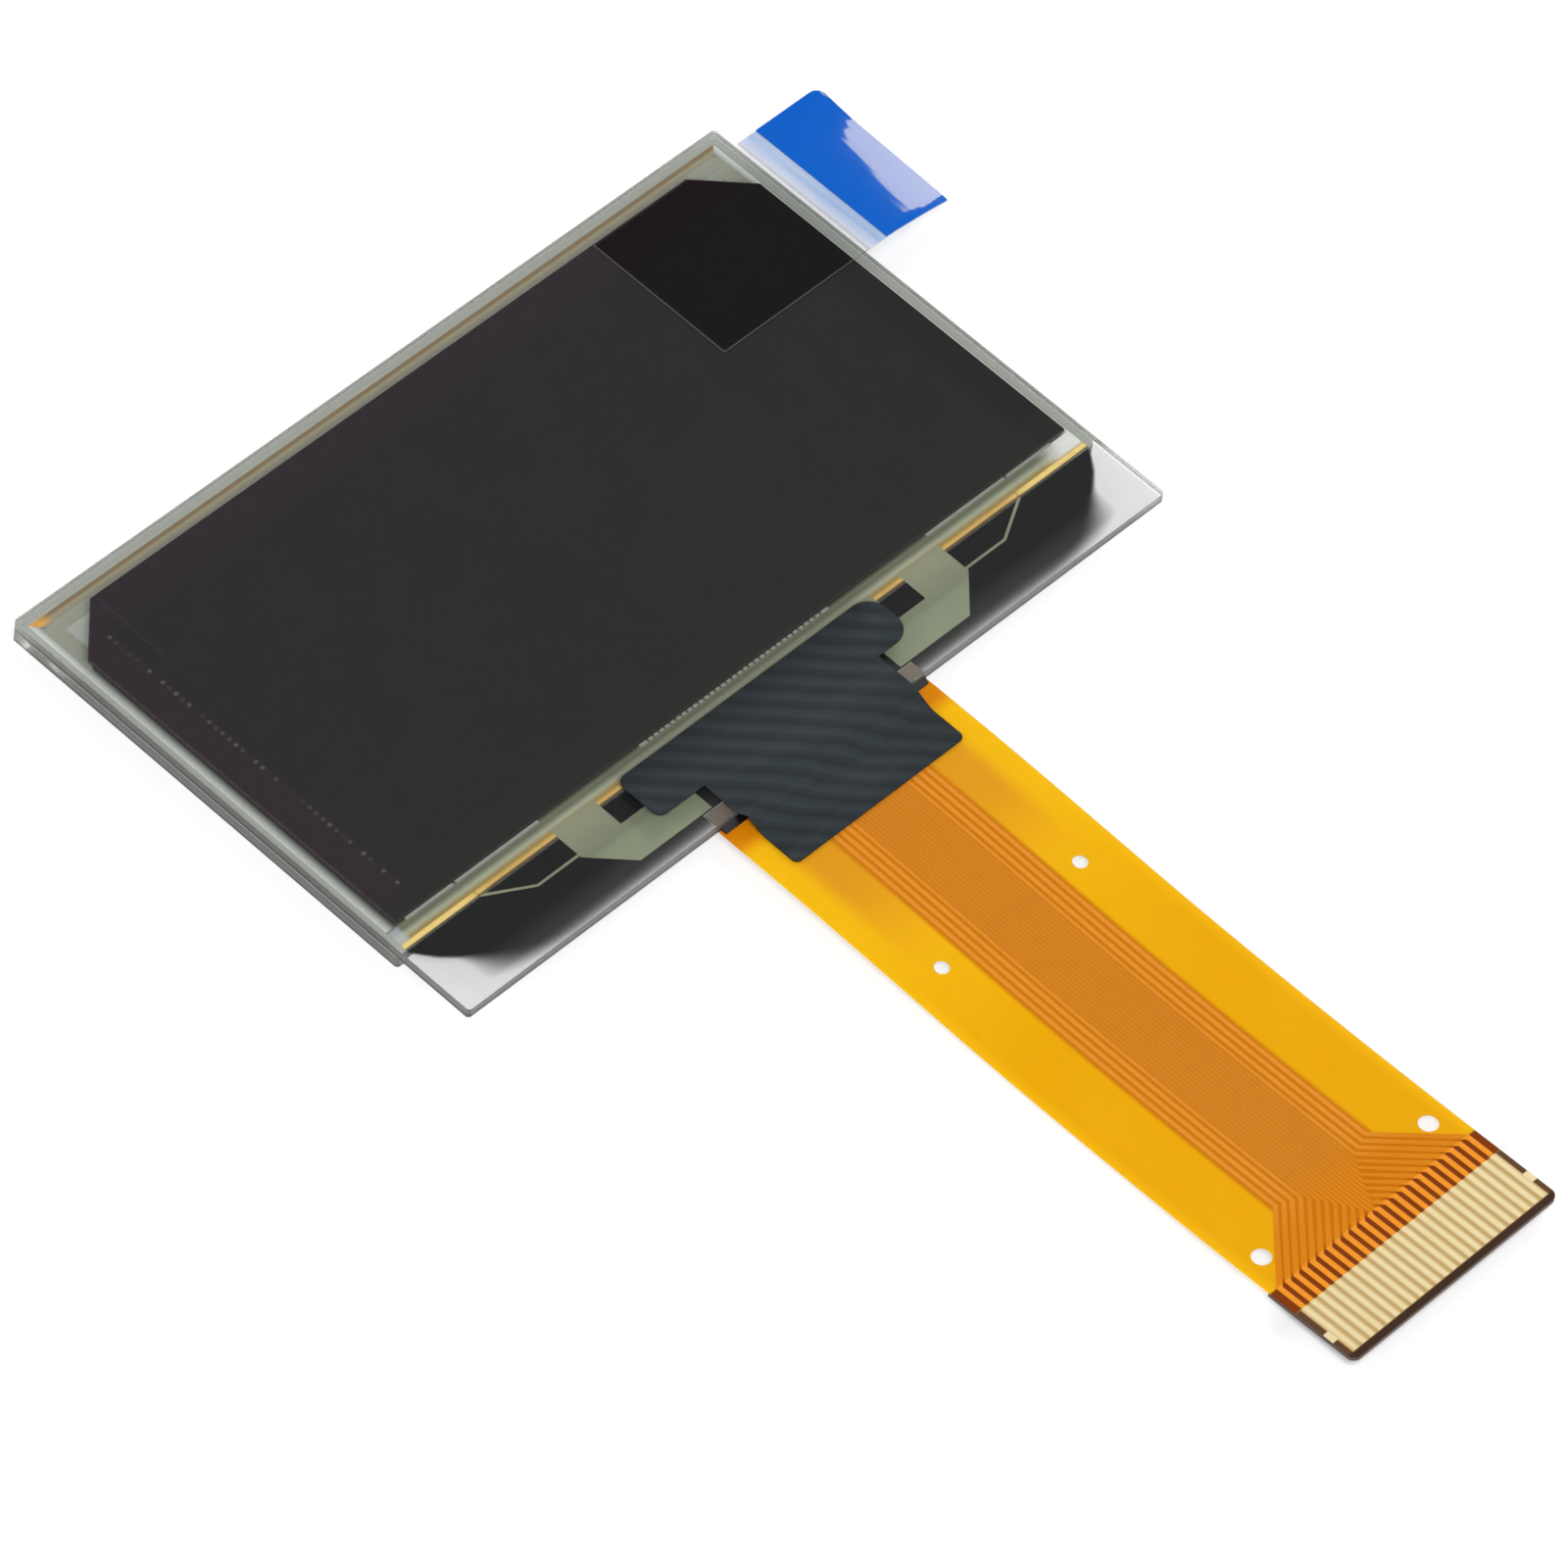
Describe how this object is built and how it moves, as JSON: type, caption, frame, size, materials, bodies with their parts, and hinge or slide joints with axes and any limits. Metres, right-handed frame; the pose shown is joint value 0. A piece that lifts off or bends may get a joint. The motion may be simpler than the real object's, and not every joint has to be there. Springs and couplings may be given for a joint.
{
  "type": "oled display panel",
  "caption": "Small rectangular glass display panel with a polarizer, a pull tape on its film and a flat flexible tail ending in bare contact fingers.",
  "frame": {"origin": "centre of the panel's underside, in the plane of the cap glass's rear face", "axes": "+Z is the viewing direction's normal, out of the display; X runs along the panel's long side; the flexible tail leaves towards -Y"},
  "size_m": [0.047, 0.0634, 0.0016],
  "materials": {
    "clear_glass": "polished",
    "cap_clear_glass": "polished",
    "seal_resin": "satin",
    "drying_sheet": "matte",
    "cathode_metal": "polished",
    "polarizer_film": "satin",
    "clear_film": "gloss",
    "clear_tape": "gloss",
    "blue_grip": "gloss",
    "pad_metal": "satin",
    "silicon": "polished",
    "adhesive": "satin",
    "dark_resin": "satin",
    "black_film": "satin",
    "amber_film": "gloss",
    "copper": "satin",
    "gold": "polished",
    "amber_cover": "gloss"
  },
  "bodies": {
    "root": {"front_glass": "clear_glass", "cap_glass": "cap_clear_glass", "perimeter_seal": "seal_resin", "desiccant_sheet": "drying_sheet", "emitting_stack": "cathode_metal", "polarizer": "polarizer_film", "protective_film": "clear_film", "pull_tape": "clear_tape", "pull_grip": "blue_grip", "pad_left": "pad_metal", "pad_right": "pad_metal", "chip_leads": "pad_metal", "tail_leads": "pad_metal", "driver_chip": "silicon", "chip_adhesive": "adhesive", "tail_adhesive": "adhesive", "ledge_resin": "dark_resin", "edge_bead": "dark_resin", "black_tape": "black_film", "tail_base": "amber_film", "copper_traces": "copper", "cover_film": "amber_cover", "contact_fingers": "gold", "tail_stiffener": "amber_film"}
  },
  "joints": []
}
